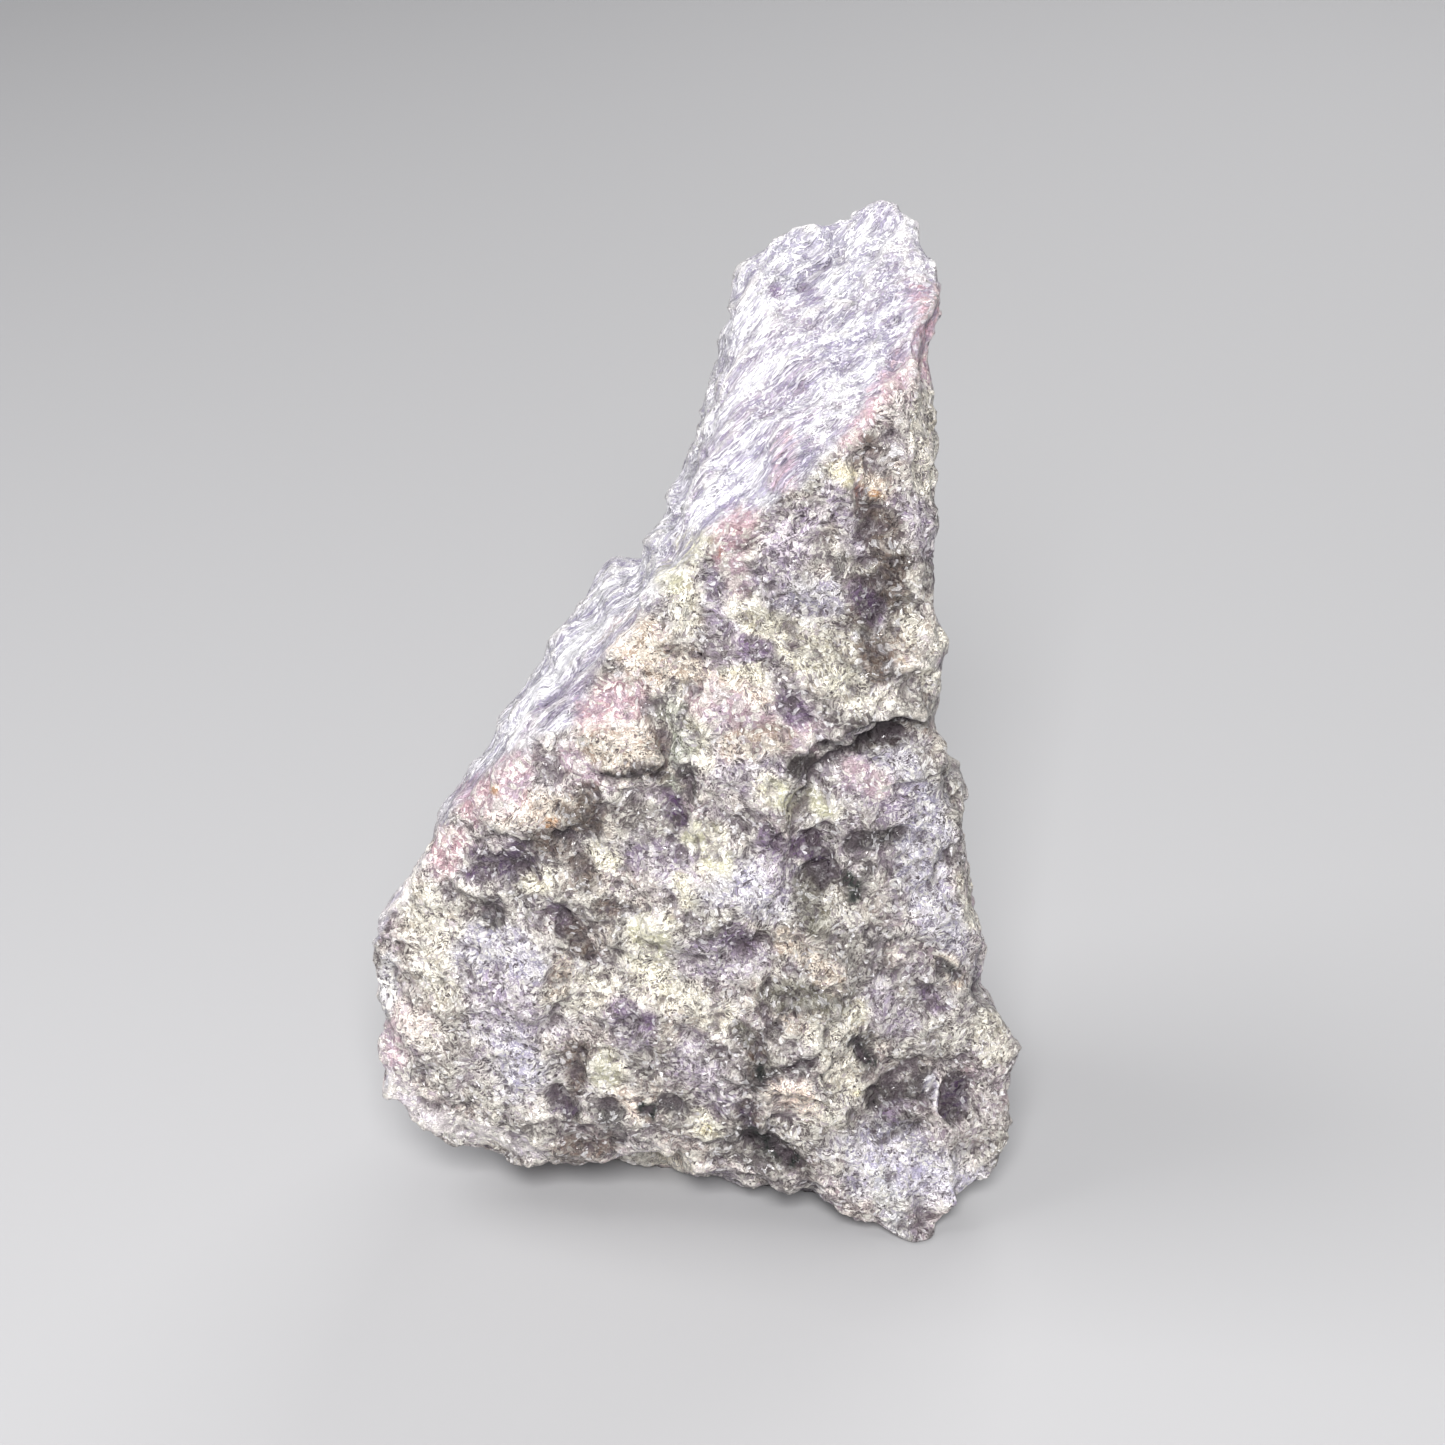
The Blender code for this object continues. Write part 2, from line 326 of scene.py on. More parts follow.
def pushed(points):
    """The points moved by every push, times e to the minus square of the distance in pixels
    over the reach. Nothing moves up or down at the base."""
    across, down = photo_place(points)
    above = ease(0.0, 1.5, points[:, 2])
    moved = points.copy()
    for x, y, reach, right, lower in PUSHES:
        share = np.exp(-((across - x) ** 2 + (down - y) ** 2) / reach ** 2) / PIXELS_PER_MM
        moved[:, 0] += right * share
        moved[:, 2] -= lower / UPWARD[2] * share * above
    return moved


even = pushed(even)
set_points(skin, even)
print("pushes:", len(PUSHES))

# %% [markdown]
# ## Streaked and rough
# A mica mass splits more easily one way than across. Where the break follows the scales it
# leaves a pale silky face of wavy strands, which here leans back from the slanting edge.
# Everywhere else it tore across the grains. One mask from 0 to 1 says which is which, from
# the way the surface faces, and behind, out of the photo, slow noise gives patches of both.

# %% Masks
STREAKED_WAY = unit(np.array([(-0.57, -0.34, 0.75)]))[0]  # how the streaked face looks out
GRAIN = unit(np.array([(0.7, 0.07, 0.71)]))[0]  # how its strands run

towards_eye = unit(EYE - even)
facing = (normals * towards_eye).sum(1)
facing_side = ease(0.52, 0.74, broad_normals @ STREAKED_WAY)
high_enough = ease(20.0, 34.0, even[:, 2] + 0.35 * even[:, 0] + 2.0 * noise(even, 4.0, 90))
behind = ease(-0.1, 0.3, broad_normals[:, 1]) * ease(0.02, 0.3, fractal(even, 17.0, 3, 91))
head = ease(61.0, 65.5, even[:, 2] + 1.5 * noise(even, 3.0, 92)) * ease(0.3, -0.2, broad_normals[:, 1])
streaked = np.maximum.reduce((facing_side * high_enough, behind * 0.9, head))
streaked = relax(streaked[:, None], 3)[:, 0]
print("share of the skin that is streaked:", round(float(streaked.mean()), 3))


# %% [markdown]
# ## Relief of the rough face
# Torn rock has three kinds of unevenness here. Layers that ended leave plates with flat
# tops and crisp ragged edges, which is a slow noise cut off sharply at a level, with a mask
# for painted shadow at the foot of the edge. Blows leave shallow dishes that meet in crests,
# which is the lowest of many bowl-shaped heights round seeds in space. Grains leave a fine
# roughness. The large plates are weaker on the seen side, which gets its own edges from the
# photo.

# %% Chips
def chips(points, size, slope, salt):
    """Dishes that meet in crests. Every box of a lattice holds one seed at a chance place.
    Its bowl is a chance tilt times the way from the seed plus a little of its square, and
    the height is the lowest bowl, times the slope."""
    place = points / size
    home = np.floor(place).astype(np.int64)
    lowest = np.full(len(points), 9.0)
    for step in itertools.product((-1, 0, 1), repeat=3):
        box = home + step
        way = place - box - np.stack([chance(box, salt + axis) for axis in range(3)], axis=1)
        tilt = np.stack([chance(box, salt + 4 + axis) * 2 - 1 for axis in range(3)], axis=1)
        lowest = np.minimum(lowest, (way * (0.45 * way + 1.1 * tilt)).sum(1))
    return lowest * slope * size


def folded(points, size, octaves, salt):
    """Sharp ridges and round valleys, from -1 to 1: noise folded at zero, upside down."""
    return 1 - 4 * np.abs(fractal(points, size, octaves, salt))


def plate(points, size, share, salt):
    """1 on a plate and 0 beside it: a noise with ragged detail, cut at a level so sharply
    that the edge is a fifth of a millimetre wide. A higher share leaves more plates. Also
    gives a mask for painted shadow, 1 at the foot of the edge and falling off like a bell
    beside it."""
    level = (fractal(points, size, 4, salt) + share) * size
    return ease(-0.1, 0.1, level), np.exp(-((level + 0.12) / 0.14) ** 2)


# %% Rough relief
PEAKS = 0.3  # millimetres; crests, not means, fill the outline
SEEN_LARGE, SEEN_SMALL, UNSEEN = 0.5, 1.0, 0.6  # strength of the plates' edges
LARGE_PLATE = 3.0  # millimetres
# Each set of plates: size in millimetres, share, salt, and the height of its edge.
PLATES = [(9.0, 0.05, 110, 0.6), (6.0, 0.0, 115, 0.42), (4.0, 0.05, 120, 0.28),
          (2.6, -0.05, 125, 0.22), (1.7, 0.0, 130, 0.16), (1.1, 0.0, 135, 0.1)]

bent = warp(even, 4.0, 0.7, 20)
bent_fine = warp(even, 1.5, 0.25, 25)
coarse = chips(bent, 5.2, 0.14, 30)
medium = chips(bent, 2.6, 0.11, 50)
fine = chips(bent_fine, 1.15, 0.11, 70)
tiny = chips(bent_fine, 0.62, 0.14, 80)

plates, edge_foot_shadows = zip(*(plate(even, size, share, salt) for size, share, salt, step in PLATES))
front = ease(-0.1, 0.2, facing)
large = UNSEEN + (SEEN_LARGE - UNSEEN) * front
small = UNSEEN + (SEEN_SMALL - UNSEEN) * front
stacked = sum(step * (large if size > LARGE_PLATE else small) * part
              for (size, *_, step), part in zip(PLATES, plates))
edge_foot_shadow = np.maximum.reduce([part * ease(0.05, 0.3, step) for (*_, step), part in zip(PLATES, edge_foot_shadows)])
rough_height = coarse + medium + fine + tiny + stacked
rough_height -= rough_height.mean() + PEAKS
print("rough relief, mm:", round(float(rough_height.std()), 3))


# %% [markdown]
# ## Relief of the streaked face
# Strands are ridges that run one way, fork and waver. Noise that is squeezed along the
# strands' direction gives long blobs, and the line where it passes through zero gives thin
# crests, so the height is one minus its absolute value. The highest of the widest crests
# are the white veins.

# %% Strand coordinates
ACROSS = np.cross(STREAKED_WAY, GRAIN)
ACROSS /= np.linalg.norm(ACROSS)
DEEP = np.cross(GRAIN, ACROSS)
FAN = 0.08  # how much steeper strands run at the left edge

run, side, depth = even @ GRAIN, even @ ACROSS, even @ DEEP
side = side - FAN * (run - run.mean()) * ease(0.0, 14.0, side - np.median(side))
swirl = warp(even, 6.0, 1.1, 140) - even
side = side + swirl @ ACROSS + 0.09 * fractal(even, 1.5, 2, 145)
flow = np.stack((run * 0.2, side, depth), axis=1)
print("strand coordinates span, mm:", np.round(np.ptp(flow, axis=0), 1).tolist())

# %% Strand relief
wide_strands = folded(flow, 2.6, 2, 150)
strand_crests = folded(flow, 1.1, 2, 160)
thin_crests = folded(flow, 0.55, 1, 170)
long_flow = flow * (0.6, 1.0, 1.0)
veins = np.maximum(ease(0.68, 0.9, folded(long_flow, 3.4, 2, 152)),
                   0.8 * ease(0.72, 0.92, folded(long_flow, 1.9, 2, 156)))
streaked_height = (0.08 * veins + 0.2 * wide_strands + 0.16 * strand_crests + 0.1 * thin_crests
                   + 0.5 * (coarse + medium) + 0.1 * stacked)
streaked_height -= streaked_height.mean() + 0.5 * PEAKS
print("strand relief, mm:", round(float(streaked_height.std()), 3))


# %% [markdown]
# ## Edges and hollows that can be pointed at
# Some broken edges, swells and hollows are large enough to know the stone by. They are
# lines in the photo. An edge is a step: the stone stands proud above the line, drops
# sharply across it, and comes back over a reach to either side. A swell or hollow is a soft
# stroke. A high or low place is ragged, and a high one gets painted light and a low one
# painted shade. A calm place has less of the chance relief, and one long line parts the two
# faces. All act only on the side of the stone that faces the camera.

# %% Lines in the photo
# Each edge: its corners x, y in pixels from left to right, reach in pixels, step in mm.
BROKEN_EDGES = [
    ([(798, 800), (808, 768), (842, 744), (879, 722), (900, 716), (940, 714)], 22, 0.8),
    ([(592, 768), (612, 776), (640, 776), (664, 768)], 22, 0.55),
    ([(688, 700), (706, 684), (740, 676)], 16, -0.3), ([(690, 700), (684, 740), (698, 800)], 14, 0.4),
    ([(757, 1050), (770, 1062), (790, 1069), (810, 1062), (820, 1048), (825, 1018)], 12, 0.5),
    ([(470, 842), (500, 834), (542, 842)], 18, 0.4),
    ([(548, 900), (580, 920), (612, 916)], 18, 0.35),
    ([(560, 1044), (590, 1052), (612, 1044)], 16, 0.35),
    ([(590, 1098), (620, 1104), (650, 1096)], 16, 0.4),
    ([(800, 836), (822, 836)], 20, 0.4),
    ([(872, 866), (905, 858), (950, 866)], 18, 0.35),
    ([(400, 1000), (450, 1020), (500, 1010)], 20, 0.3),
    ([(640, 940), (680, 930), (720, 944)], 18, 0.3),
    ([(852, 290), (880, 252), (908, 222)], 26, -0.45),
    ([(730, 560), (770, 540), (800, 500)], 20, -0.25),
    ([(860, 690), (900, 672), (940, 668)], 20, 0.3),
    ([(620, 690), (650, 676), (688, 690)], 16, 0.25),
]
# Each swell or hollow: start x, start y, end x, end y, reach in pixels, height in mm.
SWELLS_AND_HOLLOWS = [
    (678, 706, 672, 768, 15, 1.2), (486, 870, 524, 864, 20, -0.5), (484, 908, 500, 922, 14, -0.3),
    (542, 915, 562, 920, 14, -0.3), (574, 938, 600, 934, 14, -0.35), (810, 846, 818, 878, 18, -0.5),
    (872, 505, 880, 650, 18, -0.3), (858, 1046, 874, 1064, 16, -0.4), (752, 1152, 794, 1162, 14, -0.35),
    (890, 1118, 950, 1080, 34, -0.6), (948, 1100, 976, 1094, 18, -0.3), (694, 900, 750, 876, 30, 0.35),
    (900, 300, 920, 270, 16, 0.3), (780, 250, 840, 225, 16, 0.2),
]
# Raised places with painted light and sunk ones with painted shade: start x, y, end x, y, reach in pixels,
# level.
LIT_HIGH_AND_SHADED_LOW = [
    (868, 506, 896, 530, 14, -0.6), (866, 596, 874, 606, 15, -1.2), (884, 584, 902, 564, 11, -1.2),
    (874, 636, 880, 650, 13, -1.1), (866, 572, 894, 606, 16, -0.4), (900, 610, 888, 650, 10, -0.4),
    (848, 552, 836, 578, 9, -0.6), (786, 706, 794, 712, 12, -0.5), (754, 646, 780, 654, 9, -0.4),
    (714, 578, 716, 622, 9, -0.3), (762, 560, 806, 516, 18, 0.5), (664, 650, 672, 680, 11, -0.4),
    (940, 664, 952, 660, 9, -0.5), (926, 508, 934, 516, 8, -0.3), (700, 680, 760, 676, 10, 0.4),
    (720, 700, 700, 730, 16, 0.3), (700, 830, 704, 800, 10, 0.3), (580, 860, 588, 884, 12, -0.9),
    (906, 600, 910, 640, 12, -0.6), (872, 538, 890, 556, 12, -0.6), (930, 690, 900, 700, 12, 0.3),
    (760, 800, 790, 790, 14, 0.4), (560, 880, 530, 884, 12, 0.2), (640, 930, 660, 930, 14, 0.4),
    (700, 880, 770, 886, 20, 0.4), (504, 840, 492, 850, 10, 0.8), (664, 1088, 700, 1080, 14, 0.4),
    (480, 960, 540, 980, 34, 0.2), (430, 1056, 550, 1084, 46, 0.5), (400, 1000, 410, 930, 20, 0.3),
    (600, 1000, 650, 985, 18, 0.4), (700, 1008, 720, 1020, 15, 0.5), (650, 1010, 690, 1000, 14, 0.2),
    (840, 1056, 848, 1078, 16, 0.5), (784, 1100, 806, 1104, 15, 0.6), (616, 1060, 636, 1080, 12, 0.3),
    (896, 950, 930, 905, 24, 0.6), (920, 860, 946, 884, 16, 0.6), (986, 1030, 992, 1056, 12, 0.2),
    (884, 1166, 960, 1190, 28, 0.7), (584, 796, 592, 830, 13, -0.9), (570, 805, 560, 830, 12, -0.6),
    (536, 842, 562, 846, 12, -0.9), (488, 862, 520, 872, 14, -0.6), (600, 815, 510, 868, 18, -0.2),
    (482, 912, 492, 920, 10, -0.9), (566, 926, 586, 950, 11, -1.1), (564, 958, 556, 992, 13, -1.0),
    (560, 890, 566, 916, 9, -0.5), (410, 976, 424, 978, 9, -0.6), (628, 1008, 632, 1036, 11, -0.7),
    (580, 1058, 578, 1090, 9, -0.7), (556, 1102, 574, 1112, 12, -1.0), (606, 1112, 616, 1138, 13, -0.8),
    (664, 1110, 676, 1112, 10, -0.5), (652, 1046, 672, 1052, 12, -0.4), (730, 938, 752, 946, 13, -0.3),
    (676, 744, 690, 780, 11, -0.2), (676, 800, 682, 816, 9, -0.4), (758, 1050, 756, 1086, 13, -1.3),
    (790, 1014, 768, 1034, 9, -0.9), (780, 1074, 812, 1070, 6, -0.8), (826, 1056, 832, 1026, 6, -0.9),
    (770, 990, 830, 996, 12, -0.8), (810, 882, 812, 930, 14, -0.9), (746, 1112, 752, 1146, 11, -1.3),
    (760, 1150, 790, 1164, 12, -0.9), (814, 852, 826, 872, 14, -1.0), (850, 846, 900, 836, 8, -1.1),
    (900, 836, 930, 842, 6, -0.8), (870, 866, 862, 890, 7, -0.8), (852, 940, 842, 962, 9, -0.3),
    (872, 936, 880, 946, 8, -0.6), (800, 946, 806, 956, 8, -0.5), (944, 968, 956, 976, 9, -1.0),
    (920, 990, 930, 992, 6, -0.6), (868, 1040, 872, 1064, 9, -0.8), (884, 1104, 924, 1090, 14, -1.1),
    (888, 1134, 908, 1124, 14, -1.2), (966, 1088, 958, 1112, 12, -1.0), (806, 790, 800, 810, 8, -0.6),
    (858, 742, 892, 734, 11, -1.2), (572, 1130, 600, 1140, 14, -0.4), (630, 1154, 700, 1168, 12, 0.5),
    (500, 1105, 534, 1112, 14, 0.4), (540, 745, 560, 762, 12, 0.5), (550, 1052, 562, 1054, 11, 0.4),
    (742, 1028, 750, 1042, 9, -0.7), (800, 944, 806, 960, 10, -0.6), (852, 668, 866, 690, 11, -0.7),
    (806, 1176, 812, 1184, 10, -0.6), (782, 1002, 806, 1020, 10, -0.6), (880, 652, 886, 676, 10, -0.6),
    (764, 1066, 774, 1086, 11, -1.3), (936, 1080, 942, 1108, 8, 0.6), (786, 1144, 800, 1150, 9, 0.8),
    (776, 1114, 790, 1120, 10, 0.9), (556, 812, 572, 820, 9, -0.6), (934, 890, 946, 904, 10, -0.7),
    (540, 808, 552, 820, 10, -0.6), (796, 948, 824, 972, 14, -0.8), (570, 964, 570, 986, 10, -0.6),
    (728, 1178, 744, 1188, 12, 0.6), (840, 866, 848, 874, 8, 0.6), (794, 842, 804, 854, 11, 1.5),
    (658, 1088, 680, 1092, 13, 1.3), (610, 792, 668, 792, 13, 1.3), (640, 1150, 666, 1162, 16, 1.0),
    (906, 710, 922, 716, 8, 1.0), (462, 880, 474, 888, 12, 0.9), (898, 934, 908, 942, 11, 1.4),
    (540, 1130, 556, 1142, 12, 0.5), (676, 1168, 690, 1174, 10, 0.5), (732, 1032, 748, 1040, 10, -1.0),
    (866, 752, 880, 759, 10, -0.9), (676, 982, 690, 990, 10, -0.5), (646, 640, 660, 650, 10, -0.5),
    (520, 1070, 536, 1084, 13, 0.6), (438, 1088, 456, 1098, 13, 0.5), (740, 930, 752, 936, 9, 0.5),
    (378, 916, 388, 928, 9, 0.5), (716, 594, 728, 606, 10, -0.4), (566, 1026, 576, 1038, 9, 0.4),
    (511, 890, 523, 896, 9, -0.6), (896, 632, 904, 650, 10, -0.6), (900, 1238, 910, 1244, 9, -0.6),
    (594, 740, 652, 752, 18, -0.8), (710, 706, 780, 750, 26, -0.6), (750, 570, 840, 660, 34, -0.35),
    (700, 690, 706, 760, 10, 0.3),
]
# Where the break is calmer, in whole clear grains: start x, y, end x, y, reach in pixels.
CALM = [
    (640, 640, 735, 560, 36), (735, 545, 870, 410, 24), (585, 715, 620, 670, 30),
    (700, 700, 770, 750, 36), (590, 750, 655, 750, 20), (895, 460, 920, 620, 16),
    (690, 930, 750, 880, 34), (450, 790, 520, 770, 24), (890, 900, 950, 920, 24),
    (420, 930, 470, 1090, 26),
]
# Where the streaked face above ends and the rough one below begins, in the photo.
FACE_LINE = [(405, 880), (425, 835), (500, 762), (578, 718), (596, 665), (640, 621), (675, 568),
             (719, 524), (799, 489), (843, 436), (878, 392), (913, 356), (940, 352), (990, 330)]

across, down = photo_place(even)
seen = ease(-0.25, 0.1, facing)


def along_line(corners):
    """Signed distance in pixels from a broken line, positive above it where it runs to the
    right, and how far along it the nearest place lies, from 0 to 1."""
    corners = np.array(corners, float)
    runs = np.diff(corners, axis=0)
    lengths = np.maximum(np.hypot(*runs.T), 1e-9)
    starts = np.concatenate(([0.0], np.cumsum(lengths)))
    nearest, passed = np.full(len(across), 1e9), np.zeros(len(across))
    for (x0, y0), run, length, start in zip(corners, runs, lengths, starts):
        way = ((across - x0) * run[0] + (down - y0) * run[1]) / length ** 2
        way = np.clip(way, 0.0, 1.0)
        off_x, off_y = across - x0 - way * run[0], down - y0 - way * run[1]
        gap = np.hypot(off_x, off_y)
        signed = np.where(run[0] * off_y - run[1] * off_x < 0, gap, -gap)
        closer = gap < np.abs(nearest)
        nearest = np.where(closer, signed, nearest)
        passed = np.where(closer, (start + way * length) / starts[-1], passed)
    return nearest, passed


def reaches_off(x0, y0, x1, y1, reach):
    """How many reaches away from a stroke each point shows."""
    return np.abs(along_line([(x0, y0), (x1, y1)])[0]) / reach


print("edges:", len(BROKEN_EDGES), "high and low places:", len(LIT_HIGH_AND_SHADED_LOW))

# %% Edges, swells and hollows
EDGE_WIDTH = 2.2  # pixels over which an edge drops
LEVEL_RELIEF = 0.26  # millimetres that a place of level one stands proud
LOWEST_LEVEL, HIGHEST_LEVEL = -1.5, 0.8  # where strokes that overlap stop adding up
FACE_LINE_SOFTNESS = 9.0  # pixels to either side

ragged_edge = 7.0 * fractal(even, 1.6, 3, 175)
uneven = 0.35 * fractal(even, 2.4, 2, 180)
marks = np.zeros(count)
for corners, reach, step in BROKEN_EDGES:
    off, passed = along_line(corners)
    off = off + ragged_edge
    ends = ease(0.0, 0.15, passed) * ease(1.0, 0.85, passed)
    marks += step * np.tanh(off / EDGE_WIDTH) * np.exp(-np.abs(off) / reach) * ends * seen
for *stroke, height in SWELLS_AND_HOLLOWS:
    marks += height * (1 - ease(0.1, 1.5, reaches_off(*stroke) + uneven)) * seen
calm = np.zeros(count)
for stroke in CALM:
    calm = np.maximum(calm, (1 - ease(0.5, 1.3, reaches_off(*stroke) + uneven)) * seen)
# The level raises and sinks the relief, and gives painted light to high places and painted shade to low
# ones.
level = np.zeros(count)
level_edge = 0.7 * fractal(even, 1.8, 4, 185)
for *stroke, amount in LIT_HIGH_AND_SHADED_LOW:
    level += amount * (1 - ease(0.7, 1.1, reaches_off(*stroke) + level_edge)) * seen
level = np.clip(level, LOWEST_LEVEL, HIGHEST_LEVEL)
marks += LEVEL_RELIEF * level
off = along_line(FACE_LINE)[0]
above_line = ease(-FACE_LINE_SOFTNESS, FACE_LINE_SOFTNESS, off + 1.5 * ragged_edge)
streaked = streaked + (above_line - streaked) * seen
print("deepest and highest mark, mm:", round(float(marks.min()), 2), round(float(marks.max()), 2))

# %% [markdown]
# ## Putting the relief on
# The heights go along the smoothed normals. Raised grains also sag a little, so that their
# lower edges overhang and throw the thin dark shadows that broken layers have. The relief
# fades out at the base, which stays flat, and the net is then thinned where it is plain.

# %% Relief
DROOP = 0.12  # how far a raised point sags, per height
BASE_FADE = 1.2  # millimetres above the base
CALMING = 0.6  # share of the relief that a calm place loses

height = rough_height * (1 - CALMING * calm) * (1 - streaked) + streaked_height * streaked + marks
height = relax(height[:, None], 1)[:, 0] * ease(0.0, BASE_FADE, even[:, 2])
shaped = even + normals * height[:, None]
shaped[:, 2] -= DROOP * np.maximum(height, 0.0) * ease(0.0, 2 * BASE_FADE, even[:, 2])
shaped[:, 2] = np.maximum(shaped[:, 2], 0.0)
shaped[on_base, 2] = 0.0
set_points(skin, shaped)
print("relief from", round(float(height.min()), 2), "to", round(float(height.max()), 2), "mm")

# %% [markdown]
# ## Hollows and rims
# Hollows are darkened with painted shade, and broken rims are pale. How much a point lies
# below or above the mean of its surroundings says where those are, and it is measured
# twice, close by and farther off.

# %% Hollows
CLOSE_BY, FARTHER_OFF = (6, 1.0), (40, 0.55)  # rounds of smoothing, weight

new_normals = unit(relax(column(skin.vertices, "normal", 3), 2))
sunk = np.zeros(count)
for rounds, weight in (CLOSE_BY, FARTHER_OFF):
    sunk += weight * ((relax(shaped, rounds) - shaped) * new_normals).sum(1)
spread = float(np.abs(sunk).mean())
hollow = ease(0.6, 3.2, sunk / spread)
rim = ease(0.7, 3.0, -sunk / spread)
print("share of hollows and rims:", round(float(hollow.mean()), 3), round(float(rim.mean()), 3))

# %% [markdown]
# ## Tint of the stone
# No two hand-widths of a mica mass have one colour: lilac where the scales are pure, cream
# and greenish where feldspar is mixed in, brown where iron has stained it. Slow noise gives
# the general drift, and the photo's own spots are strokes as above, by named colour. Some
# strokes are painted shadows under ledges, low places get painted shade and high places get
# painted light.

# %% Colours
COLOURS = {
    "white": (0.398, 0.394, 0.436), "cream": (0.46, 0.415, 0.335), "lilac": (0.27, 0.21, 0.31),
    "yellow_cream": (0.46, 0.42, 0.3), "olive": (0.15, 0.135, 0.095), "pink_lilac": (0.48, 0.335, 0.39),
    "violet": (0.16, 0.095, 0.2), "dark_violet": (0.07, 0.036, 0.09), "rose": (0.53, 0.32, 0.37),
    "tan": (0.43, 0.32, 0.24), "brown": (0.14, 0.09, 0.07), "red_brown": (0.3, 0.08, 0.05),
    "orange": (0.62, 0.31, 0.12), "peach": (0.54, 0.4, 0.32), "pale": (0.66, 0.6, 0.62),
    "yellow": (0.7, 0.6, 0.28), "yellow_green": (0.62, 0.6, 0.42), "grey_green": (0.26, 0.28, 0.22),
    # the colour for painted shadow under ledges and at the foot of plate edges is in the next line
    "dark_grey": (0.08, 0.07, 0.075), "black_green": (0.012, 0.017, 0.014), "painted_shadow": (0.03, 0.02, 0.02),
    "grey": (0.222, 0.195, 0.18), "bright": (0.8, 0.79, 0.84), "cool_lilac": (0.29, 0.27, 0.38),
}
